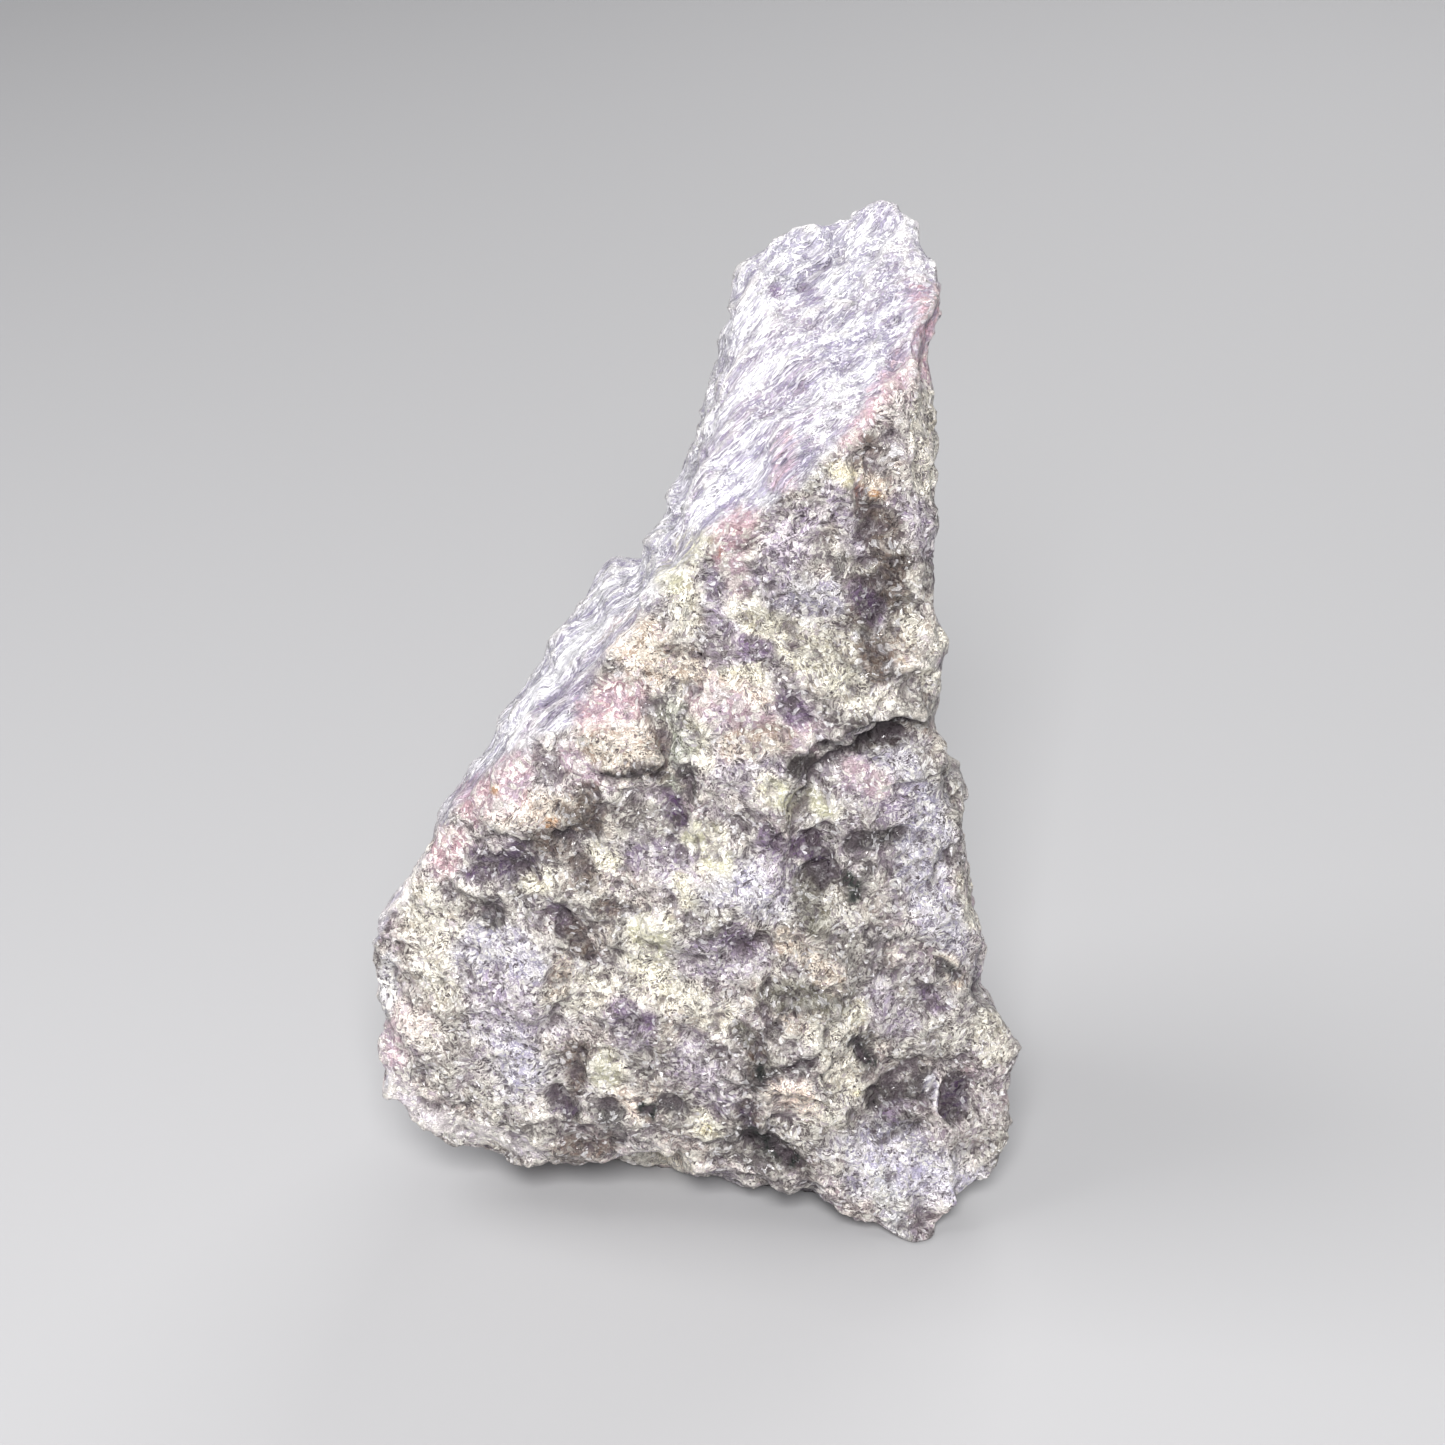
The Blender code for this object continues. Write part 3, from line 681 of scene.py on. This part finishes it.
# Each stroke: start x, start y, end x, end y, reach in pixels.
TINTED = {"cool_lilac": [
    (494, 1016, 526, 1072, 23), (916, 876, 952, 940, 18), (776, 594, 826, 604, 18),
    (800, 640, 820, 650, 12), (870, 1160, 960, 1190, 30), (690, 870, 780, 890, 24),
    (480, 950, 550, 990, 34), (900, 760, 935, 840, 22), (910, 850, 940, 880, 14), (936, 1090, 942, 1104, 8),
], "lilac": [
    (606, 1004, 636, 1036, 17), (772, 580, 808, 520, 18), (832, 494, 850, 520, 12),
    (706, 584, 722, 618, 13), (712, 750, 776, 790, 22), (850, 540, 866, 556, 10), (860, 780, 890, 800, 20),
    (914, 502, 930, 545, 12), (880, 1000, 900, 1030, 18), (490, 1000, 540, 1010, 24),
    (690, 1060, 720, 1100, 18), (770, 850, 784, 880, 14), (640, 850, 690, 870, 16),
    (700, 960, 750, 960, 18),
], "cream": [
    (690, 690, 700, 760, 12), (410, 900, 436, 930, 20), (560, 1000, 600, 990, 20),
    (640, 990, 690, 1000, 14), (430, 960, 440, 990, 16), (806, 1114, 838, 1122, 11),
    (810, 1030, 850, 1034, 12), (840, 1060, 850, 1096, 16), (826, 632, 850, 650, 14),
    (900, 600, 914, 640, 9), (944, 640, 934, 680, 14), (840, 690, 880, 694, 16), (986, 1020, 992, 1056, 12),
    (700, 1008, 720, 1020, 15), (932, 400, 932, 484, 12), (973, 880, 977, 920, 10),
    (666, 1160, 680, 1168, 12),
], "yellow_cream": [
    (706, 680, 760, 676, 12), (688, 690, 694, 750, 8), (770, 790, 796, 802, 14), (640, 930, 660, 925, 14),
    (600, 850, 610, 860, 10), (525, 880, 545, 880, 10), (682, 560, 688, 620, 14), (742, 604, 762, 622, 14),
    (836, 1000, 856, 1012, 12), (680, 880, 690, 900, 8), (700, 1128, 712, 1134, 10),
    (640, 960, 660, 980, 14), (790, 640, 830, 670, 18), (716, 836, 704, 860, 12),
    (606, 1060, 616, 1080, 10),
], "peach": [
    (620, 640, 660, 670, 18), (600, 735, 660, 745, 14), (780, 1095, 806, 1105, 14),
    (620, 1100, 640, 1110, 12), (500, 802, 546, 812, 18), (730, 690, 766, 700, 10),
], "pale": [
    (384, 1085, 436, 1124, 11), (440, 1128, 534, 1146, 10), (548, 590, 500, 690, 8),
    (424, 838, 392, 906, 9),
], "bright": [
    (716, 332, 770, 304, 4), (770, 304, 850, 284, 4), (850, 284, 880, 252, 4), (880, 252, 906, 228, 4),
    (694, 440, 742, 384, 4), (742, 384, 830, 336, 4), (830, 336, 912, 300, 4), (652, 588, 704, 500, 5),
    (704, 500, 786, 440, 5), (786, 440, 850, 404, 4), (500, 740, 560, 660, 4), (560, 660, 610, 620, 4),
], "white": [
    (880, 1180, 900, 1240, 12), (500, 690, 480, 750, 14), (388, 960, 384, 1080, 7), (712, 345, 690, 440, 9),
    (690, 440, 655, 520, 9), (590, 575, 505, 690, 9),
], "rose": [
    (476, 802, 512, 778, 18), (448, 840, 440, 868, 13), (592, 712, 624, 694, 19), (724, 545, 742, 520, 16),
    (876, 395, 888, 380, 12), (850, 440, 864, 418, 11), (928, 300, 931, 366, 18),
], "pink_lilac": [
    (570, 758, 590, 775, 12), (700, 700, 730, 716, 14), (780, 446, 782, 482, 15), (724, 704, 764, 730, 15),
    (900, 362, 906, 374, 12), (760, 730, 800, 740, 14), (390, 1030, 394, 1060, 12),
    (850, 775, 880, 785, 12), (730, 560, 740, 590, 10), (520, 760, 500, 800, 14),
], "yellow_green": [
    (776, 792, 786, 800, 10), (816, 800, 828, 812, 10), (696, 836, 722, 860, 12), (640, 926, 656, 944, 12),
    (672, 572, 690, 545, 16), (600, 1066, 606, 1080, 11),
], "grey_green": [
    (674, 712, 680, 750, 13), (664, 770, 672, 790, 8),
], "olive": [
    (770, 996, 840, 1000, 14), (806, 890, 816, 925, 14), (740, 1026, 750, 1040, 8),
], "tan": [
    (594, 748, 650, 756, 16), (858, 470, 880, 490, 10), (730, 748, 780, 740, 12), (638, 624, 652, 640, 14),
    (640, 660, 686, 664, 18), (560, 806, 572, 816, 12), (944, 962, 956, 978, 9), (790, 1020, 800, 1026, 8),
    (900, 640, 906, 660, 10), (640, 762, 660, 758, 10), (562, 962, 556, 992, 10), (792, 946, 830, 974, 14),
], "brown": [
    (868, 512, 888, 530, 12), (876, 538, 890, 580, 11), (896, 576, 900, 610, 8), (868, 646, 880, 678, 12),
    (566, 1150, 600, 1152, 13), (854, 590, 858, 616, 8), (566, 812, 574, 822, 8), (580, 862, 588, 880, 9),
    (640, 770, 658, 774, 9), (602, 904, 612, 910, 7), (572, 930, 588, 950, 10), (574, 1050, 590, 1056, 9),
    (868, 440, 878, 452, 10), (884, 584, 902, 564, 11), (866, 596, 876, 606, 12), (876, 636, 884, 651, 11),
    (586, 794, 592, 826, 10), (540, 842, 560, 846, 10), (572, 1056, 576, 1094, 8),
    (758, 1056, 756, 1080, 9), (746, 1116, 752, 1130, 9),
], "violet": [
    (742, 645, 768, 652, 9), (854, 594, 876, 616, 10), (770, 840, 784, 850, 12), (552, 914, 562, 920, 10),
    (622, 1008, 640, 1020, 14), (890, 1118, 904, 1106, 9), (786, 704, 796, 714, 11),
    (776, 292, 780, 296, 7), (804, 292, 812, 296, 8), (926, 994, 940, 1006, 8), (732, 938, 748, 946, 10),
    (942, 664, 950, 660, 8),
], "dark_violet": [
    (556, 1104, 570, 1110, 8), (744, 1120, 752, 1138, 8), (486, 870, 522, 866, 14), (674, 806, 680, 816, 9),
    (966, 1092, 958, 1108, 9), (812, 852, 826, 874, 11),
], "dark_grey": [
    (484, 912, 494, 922, 8), (664, 1108, 676, 1112, 8), (606, 1110, 616, 1116, 8), (684, 770, 690, 786, 8),
    (944, 968, 956, 976, 6), (852, 846, 900, 836, 4),
], "black_green": [
    (850, 878, 856, 890, 7), (856, 1044, 874, 1064, 9), (752, 1140, 788, 1164, 10),
    (758, 1072, 758, 1084, 6), (640, 1110, 650, 1114, 6),
# painted shadows under the ledge, the plate and the shelf
], "painted_shadow": [
    (802, 790, 806, 772, 4), (792, 768, 806, 756, 6), (808, 768, 842, 748, 6), (846, 745, 879, 727, 8),
    (864, 738, 892, 733, 11), (900, 724, 926, 722, 4), (600, 774, 660, 774, 4), (784, 1074, 810, 1070, 4),
], "orange": [
    (549, 826, 549, 828, 5), (492, 789, 494, 789, 5), (880, 496, 882, 498, 4),
], "yellow": [
    (840, 470, 850, 478, 8), (862, 1100, 863, 1100, 4), (705, 1132, 707, 1132, 4),
], "red_brown": [
    (860, 497, 862, 497, 5), (719, 554, 720, 554, 4),
]}
DEEP_SPOTS = ("black_green", "painted_shadow", "dark_violet", "dark_grey")
GLASSY = ("rose", "pink_lilac", "yellow_green", "pale")  # clear grains, with few scales


def blend(tint, name, share):
    """The tint carried towards a named colour by a share from 0 to 1 at each point."""
    return tint + (np.array(COLOURS[name]) - tint) * share[:, None]


def layered(base, layers):
    """One named colour all over, with others blended over it in turn."""
    tint = np.tile(np.array(COLOURS[base]), (count, 1))
    for name, share in layers:
        tint = blend(tint, name, share)
    return tint


print("colours:", len(COLOURS), "strokes:", sum(len(strokes) for strokes in TINTED.values()))

# %% Tint
NAMED_SHARE = 0.9  # of a stroke's colour in the middle of the stroke
CHANCE_LOSS = 0.6  # share that spots by chance lose where the photo's own are placed
# painted light on high places:
PAINTED_LIGHT_PER_LEVEL = 0.8  # of high places, in powers of two
ROUGH_DARKER = 0.14  # share of its light that the rough face loses

drift = fractal(even, 9.0, 3, 200)
mottle = fractal(even, 2.6, 3, 210)
feldspar = fractal(even, 4.2, 3, 230)

in_view = ease(-0.05, 0.12, facing)
chance_share = 1 - CHANCE_LOSS * in_view
by_chance = (
    ("lilac", ease(-0.2 - 0.2 * (1 - in_view), 0.15, drift + 0.5 * mottle) * (1.0 - 0.2 * in_view)),
    ("cream", plates[1] * plates[2] * ease(-0.2, 0.25, feldspar) * 0.6),
    ("peach", plates[3] * ease(-0.1, 0.3, fractal(even, 3.2, 3, 240)) * 0.7),
    ("tan", ease(0.15, 0.5, fractal(even, 3.2, 3, 245)) * 0.6),
    ("violet", ease(0.0, 0.3, fractal(even, 3.6, 3, 250) - 0.25 * plates[2]) * 0.8),
    ("dark_grey", ease(0.2, 0.5, fractal(even, 1.8, 2, 260) - 0.4 * plates[3]) * 0.7),
    ("pink_lilac", ease(0.05, 0.35, fractal(even, 5.5, 2, 270)) * 0.6))
rough_tint = layered("grey", ((name, share * chance_share) for name, share in by_chance))
# painted shadow at the foot of the plate edges
rough_tint = blend(rough_tint, "painted_shadow", edge_foot_shadow * ease(-0.3, 0.2, mottle) * 0.6)
# painted shade on low places, in powers of two
rough_tint *= 2.0 ** np.minimum(level, 0.0)[:, None]

patches = ease(-0.12, 0.16, fractal(flow * (2.0, 1.0, 1.0), 3.2, 3, 285))
streaked_tint = layered("white", (
    ("cool_lilac", patches * 0.8),
    ("cool_lilac", (1 - ease(-0.5, 0.6, strand_crests)) * 0.5),
    ("violet", (1 - ease(-0.6, 0.5, thin_crests)) * 0.2 * (1 + patches)),
    ("pink_lilac", ease(0.05, 0.35, fractal(even, 5.0, 2, 288)) * 0.25),
    ("bright", veins * 0.85)))

tint = rough_tint + (streaked_tint - rough_tint) * streaked[:, None]
ragged = 0.55 * fractal(even, 1.3, 3, 290)
torn = 0.9 * fractal(even, 0.7, 2, 295)
glassy = np.zeros(count)
for name, strokes in TINTED.items():
    for *ends, reach in strokes:
        distance = reaches_off(*ends, 1.3 * reach) + ragged
        distance += torn * (name in DEEP_SPOTS)
        share = (1 - ease(0.5, 1.2, distance)) * in_view
        tint = blend(tint, name, share * (1.0 if name in DEEP_SPOTS else NAMED_SHARE))
        glassy = np.maximum(glassy, share * (name in GLASSY))
# painted light on high places; the rough face is also a little darker all over
light = (1 - ROUGH_DARKER * (1 - streaked)) * 2.0 ** (PAINTED_LIGHT_PER_LEVEL * np.maximum(level, 0.0))
tint *= light[:, None]
print("mean tint:", [round(float(value), 2) for value in tint.mean(0)])


# %% Attributes and thinning
def add_values(mesh, name, kind, values):
    """Stores one value or colour at each point, for a material to read by name."""
    made = mesh.attributes.new(name, kind, "POINT")
    key = {"FLOAT_COLOR": "color", "FLOAT_VECTOR": "vector", "FLOAT": "value"}[kind]
    made.data.foreach_set(key, np.ascontiguousarray(values, np.float32).ravel())


TRIANGLES = 196000
SHADE_PER_LEVEL = 0.45  # of low places, in powers of two
SINGLE = {"hollow": hollow, "rim": rim, "streaked": streaked, "glassy": glassy,
          "shade": 2.0 ** (SHADE_PER_LEVEL * np.minimum(level, 0.0))}

add_values(skin, "tint", "FLOAT_COLOR", np.column_stack((tint, np.ones(count))))
for name, values in SINGLE.items():
    add_values(skin, name, "FLOAT", values)
add_values(skin, "flow", "FLOAT_VECTOR", flow)
thin = stone.modifiers.new("thin", "DECIMATE")
thin.ratio = min(1.0, TRIANGLES / (2 * len(skin.polygons)))
thinned = evaluated_mesh(stone, "rough_stone")
stone.modifiers.clear()
stone.data = thinned
thinned.shade_smooth()
print("faces kept:", len(thinned.polygons), "values:", [item.name for item in thinned.attributes])


# %% [markdown]
# ## Shader sums
# A material's maths reads best as maths. This small class stands for a node's output:
# adding, subtracting or multiplying it by a number or another output adds the Math node
# that does so.

# %% Outputs that can be reckoned with
class Output:
    """One output of a node of a graph."""

    def __init__(self, graph, socket):
        self.graph, self.socket = graph, socket

    def reckon(self, operation, first, second):
        """A Math node on two outputs or numbers."""
        return self.graph.node("ShaderNodeMath", {"operation": operation}, {0: first, 1: second})

    def __add__(self, value):
        return self.reckon("ADD", self, value)

    __radd__ = __add__

    def __sub__(self, value):
        return self.reckon("SUBTRACT", self, value)

    def __rsub__(self, value):
        return self.reckon("SUBTRACT", value, self)

    def __mul__(self, value):
        return self.reckon("MULTIPLY", self, value)

    __rmul__ = __mul__

    def __abs__(self):
        return self.graph.node("ShaderNodeMath", {"operation": "ABSOLUTE"}, {0: self})

    def at_most(self, limit):
        """The output, or the limit where it is above that."""
        return self.reckon("MINIMUM", self, limit)


class Graph:
    """The nodes of one material."""

    def __init__(self, name):
        self.material = bpy.data.materials.new(name)
        self.material.use_nodes = True
        self.tree = self.material.node_tree
        self.shader = self.tree.nodes["Principled BSDF"]

    def feed(self, socket, value):
        """Links an output to a socket, or sets the socket to a plain value."""
        if isinstance(value, Output):
            self.tree.links.new(value.socket, socket)
        else:
            socket.default_value = value

    def node(self, kind, settings, inputs, output=0):
        """Adds a node: its settings first, then its sockets, and gives one of its outputs."""
        made = self.tree.nodes.new(kind)
        for name, value in settings.items():
            setattr(made, name, value)
        for name, value in inputs.items():
            self.feed(made.inputs[name], value)
        return Output(self, made.outputs[output])

    def values(self, name, output):
        """What add_values stored in the mesh under a name."""
        return self.node("ShaderNodeAttribute", {"attribute_name": name}, {}, output)

    def vector(self, operation, *inputs, output=0):
        return self.node("ShaderNodeVectorMath", {"operation": operation},
                         dict(enumerate(inputs)), output)

    def scaled(self, vector, factor):
        """A vector made longer or shorter by a number."""
        return self.node("ShaderNodeVectorMath", {"operation": "SCALE"}, {0: vector, "Scale": factor})

    def mix(self, share, first, second):
        """One colour carried towards another by a share."""
        return self.node("ShaderNodeMix", {"data_type": "RGBA"}, {0: share, 6: first, 7: second}, 2)

    def between(self, low, high, value):
        """0 at low, 1 at high, and an S-shaped curve between; low may be above high."""
        return self.node("ShaderNodeMapRange", {"interpolation_type": "SMOOTHSTEP"},
                         {"Value": value, "From Min": low, "From Max": high})

    def parts(self, colour_output):
        """The three parts of a colour."""
        red = self.node("ShaderNodeSeparateColor", {}, {"Color": colour_output})
        return [Output(self, socket) for socket in red.socket.node.outputs]

    def grain_cells(self, place, size):
        """A chance colour for each small cell of a size in millimetres."""
        return self.node("ShaderNodeTexVoronoi", {"feature": "F1"},
                         {"Vector": place, "Scale": 1 / size, "Randomness": 1.0}, "Color")

    def soft_noise(self, place, size, detail, output="Fac"):
        """Noise from 0 to 1 round 0.5, with a size in millimetres and finer detail on it."""
        return self.node("ShaderNodeTexNoise", {},
                         {"Vector": place, "Scale": 1 / size, "Detail": detail,
                          "Roughness": 0.6}, output)


# %% [markdown]
# ## Finish of the stone
# Close up the mass is a felt of tiny scales: thin pale curls, scale edges with painted
# glints where they catch the light, flecks of cream, lilac and violet between them, a few
# dark ones, and sparse white flecks that are painted glints. The curls are the lines along
# which a noise passes through its middle value. Each scale is also a small mirror tilted its
# own way, which gives the sparkle. On the streaked face the same noises are read in the
# strands' coordinates, so that the curls are drawn out into silky strands, pale and with
# painted sheen. Clear grains carry few curls, and low places get painted shade once more.

# %% Stone material
g = Graph("grainy_mica")
tint_value = g.values("tint", "Color")
hollow_shade_value, rim_value, streaked_value, glassy_value, shade_value = (
    g.values(name, "Fac") for name in SINGLE)
flow_place = g.values("flow", "Vector")

MIDDLE = (0.5, 0.5, 0.5)  # of a chance colour
PLACE_PUSH = 0.6  # millimetres

object_place = g.node("ShaderNodeTexCoord", {}, {}, "Object")
place = g.scaled(object_place, 1 / MM)
push = g.vector("SUBTRACT", g.soft_noise(place, 0.9, 2.0, "Color"), MIDDLE)
place = g.vector("ADD", place, g.scaled(push, PLACE_PUSH))
print("values read:", ["tint", *SINGLE, "flow"])

# %% Colours of scales and ways to lay them on
CREAM = (0.79, 0.76, 0.68, 1.0)
WHITE = (0.9, 0.89, 0.92, 1.0)
WARM_WHITE = (0.905, 0.885, 0.8, 1.0)
LILAC = (0.46, 0.39, 0.52, 1.0)
VIOLET = (0.23, 0.205, 0.305, 1.0)
DARK = (0.057, 0.042, 0.047, 1.0)
# painted shade for the hollows
HOLLOW_SHADE = (0.1, 0.075, 0.09, 1.0)


def mixed(colour, *layers):
    """A colour with others mixed over it in turn, each by its share."""
    for share, other in layers:
        colour = g.mix(share, colour, other)
    return colour


def curls(where, size, width, salt):
    """Thin winding lines, 1 on the line: how near a noise is to its middle value. The salt
    slides the pattern along, so that two sets of curls differ."""
    slid = g.vector("ADD", where, (salt, 0.37 * salt, 0.73 * salt))
    level = g.soft_noise(slid, size, 2.0)
    return g.between(width, width * 0.3, abs(level - 0.5))


# %% Bundles, grains, flecks and flakes
BUNDLE, GRAIN_SIZE, FLECK, FLAKE = 0.95, 0.7, 0.25, 0.22  # millimetres
DRAWN_OUT = 0.64  # share of the place along a bundle's lie that is taken off

lie = g.vector("NORMALIZE", g.vector("SUBTRACT", g.grain_cells(place, BUNDLE), MIDDLE))
along = g.vector("DOT_PRODUCT", place, lie, output="Value")
felt = g.vector("SUBTRACT", place, g.scaled(lie, along * DRAWN_OUT))
grain_chance = g.grain_cells(place, GRAIN_SIZE)
fleck_chance = g.grain_cells(felt, FLECK)
flake_chance = g.grain_cells(flow_place, FLAKE)
grain_one, grain_two = g.parts(grain_chance)[:2]
fleck_one, fleck_two, fleck_three = g.parts(fleck_chance)
flake_one, flake_two = g.parts(flake_chance)[:2]
tint_green = g.parts(tint_value)[1]  # how light the tint is
with_scales = 1 - 0.8 * glassy_value  # clear grains show fewer scales
print("nodes:", len(g.tree.nodes))

# %% Colours of the rough face
light_here = g.between(0.04, 0.3, tint_green)
some_scales = g.between(0.014, 0.03, tint_green)
scales_here = some_scales * (0.2 + 0.8 * light_here)
thick_here = g.between(0.42, 0.6, g.soft_noise(place, 2.4, 2.0))
# pale curls of scale edges, with painted glints where they catch the light
rough_curls_and_glints = (curls(felt, 0.36, 0.055, 3.0) + 0.8 * curls(felt, 0.23, 0.05, 11.0)).at_most(1.0)
curl_and_glint_strength = (0.5 + 0.5 * thick_here) * scales_here * (1 - 0.6 * glassy_value)
curl_and_glint_colour = g.mix(0.42, WARM_WHITE, g.scaled(tint_value, 2.7))
rough_colour = mixed(
    tint_value,
    (g.between(0.6, 0.75, grain_two) * 0.4 * light_here, LILAC),
    (g.between(0.78, 0.84, grain_one) * 0.5 * light_here, CREAM),
    (g.between(0.24, 0.16, grain_one) * 0.6 * with_scales, DARK),
    (g.between(0.34, 0.24, fleck_one) * 0.85 * with_scales, DARK),
    # pale flecks, brightened as painted glints
    (g.between(0.77, 0.84, fleck_one) * 0.8 * scales_here, WARM_WHITE),
    # sparse white flecks that are painted glints
    (g.between(0.87, 0.92, fleck_three) * 0.5 * some_scales, WHITE),
    (rough_curls_and_glints * curl_and_glint_strength, curl_and_glint_colour))
print("nodes:", len(g.tree.nodes))

# %% Colours of the streaked face
strand_level = g.soft_noise(flow_place, 0.32, 3.0)
long_place = g.vector("MULTIPLY", flow_place, (0.35, 1.0, 1.0))
patch_here = g.between(0.4, 0.58, g.soft_noise(flow_place, 1.3, 2.0))
drawn_place = g.vector("MULTIPLY", flow_place, (0.6, 1.0, 1.0))
# white strands and flakes: pale strands with painted sheen
streaked_curls_and_sheen = (curls(long_place, 0.4, 0.045, 5.0) + 0.9 * curls(drawn_place, 0.24, 0.045, 17.0)
                  + 0.5 * curls(place, 0.3, 0.04, 23.0)).at_most(1.0)
strand_and_sheen_share = (0.42 + 0.58 * g.between(0.22, 0.5, tint_green)) * (1 - 0.35 * patch_here)
streaked_colour = mixed(
    tint_value,
    (g.between(0.6, 0.49, strand_level) * (0.3 + 0.4 * patch_here), VIOLET),
    (g.between(0.36, 0.28, flake_one) * 0.6, VIOLET),
    (g.between(0.8, 0.9, flake_two) * 0.5, WHITE),
    (streaked_curls_and_sheen * strand_and_sheen_share * with_scales, WHITE))
print("nodes:", len(g.tree.nodes))

# %% Colour, gloss and sparkle together
FINE_TILT, WIDE_TILT = 0.9, 0.45  # of the scales and of the grains that they lie in
SCALE_RELIEF = 0.12  # millimetres

# Rims are pale cream, and hollows get painted shade.
stone_colour = mixed(
    rough_colour,
    (streaked_value, streaked_colour),
    (rim_value * 0.35 * light_here, CREAM),
    (hollow_shade_value * (0.8 - 0.45 * streaked_value), HOLLOW_SHADE))
# low places are darkened once more as painted shade
g.feed(g.shader.inputs["Base Color"], g.scaled(stone_colour, shade_value))
g.feed(g.shader.inputs["Roughness"], 0.58 - 0.4 * g.between(0.45, 0.85, fleck_two))

fine_tilt = g.vector("SUBTRACT", g.mix(streaked_value, fleck_chance, flake_chance), MIDDLE)
wide_tilt = g.vector("SUBTRACT", grain_chance, MIDDLE)
tilt = g.vector("ADD", g.scaled(fine_tilt, FINE_TILT), g.scaled(wide_tilt, WIDE_TILT))
surface_normal = g.node("ShaderNodeNewGeometry", {}, {}, "Normal")
scale_normal = g.vector("NORMALIZE", g.vector("ADD", surface_normal, tilt))
relief = rough_curls_and_glints + streaked_value * (streaked_curls_and_sheen - rough_curls_and_glints)
relief = relief + 0.8 * (strand_level * streaked_value) + 0.6 * g.soft_noise(place, 0.5, 3.0)
bump = g.node("ShaderNodeBump", {}, {"Strength": 1.0, "Distance": SCALE_RELIEF * MM,
                                     "Height": relief, "Normal": scale_normal})
g.feed(g.shader.inputs["Normal"], bump)
g.shader.inputs["IOR"].default_value = 1.56
g.shader.inputs["Coat Weight"].default_value = 0.12
g.shader.inputs["Coat Roughness"].default_value = 0.25

thinned.materials.clear()
thinned.materials.append(g.material)
print("nodes in the finish:", len(g.tree.nodes))

# %% [markdown]
# ## Hand-over
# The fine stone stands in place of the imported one, which stays for collision.

# %% Hand-over
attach(stone, "root")
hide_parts(STONE)
